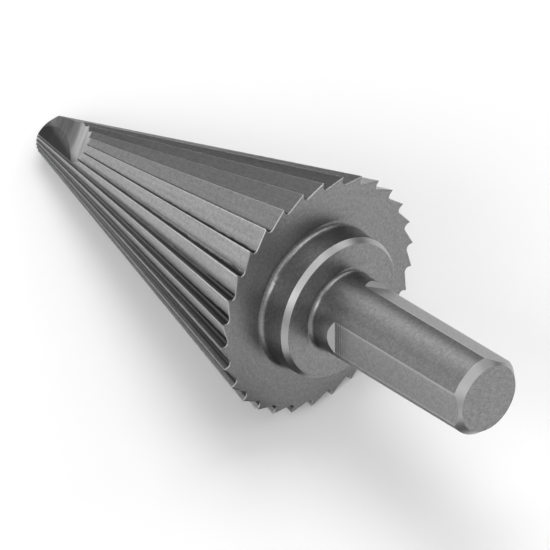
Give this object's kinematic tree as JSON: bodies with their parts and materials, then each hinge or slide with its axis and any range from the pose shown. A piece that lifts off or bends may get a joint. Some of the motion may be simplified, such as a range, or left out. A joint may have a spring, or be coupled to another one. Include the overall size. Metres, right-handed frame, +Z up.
{
  "type": "cone drill bit",
  "caption": "Toothed steel cone that widens a hole in sheet metal, with a gashed point, a collar and a round shank with flats for a drill chuck.",
  "frame": {"origin": "on the surface that the bit lies on, below the middle of its outline", "axes": "+X runs below the bit's axis from the point to the shank, which leans up by about 15 degrees; +Z is up"},
  "size_m": [0.076, 0.0304, 0.0292],
  "materials": {
    "ground_tool_steel": "satin, ground lengthwise on the teeth"
  },
  "bodies": {
    "root": {"cone_drill_bit": "ground_tool_steel"}
  },
  "joints": []
}
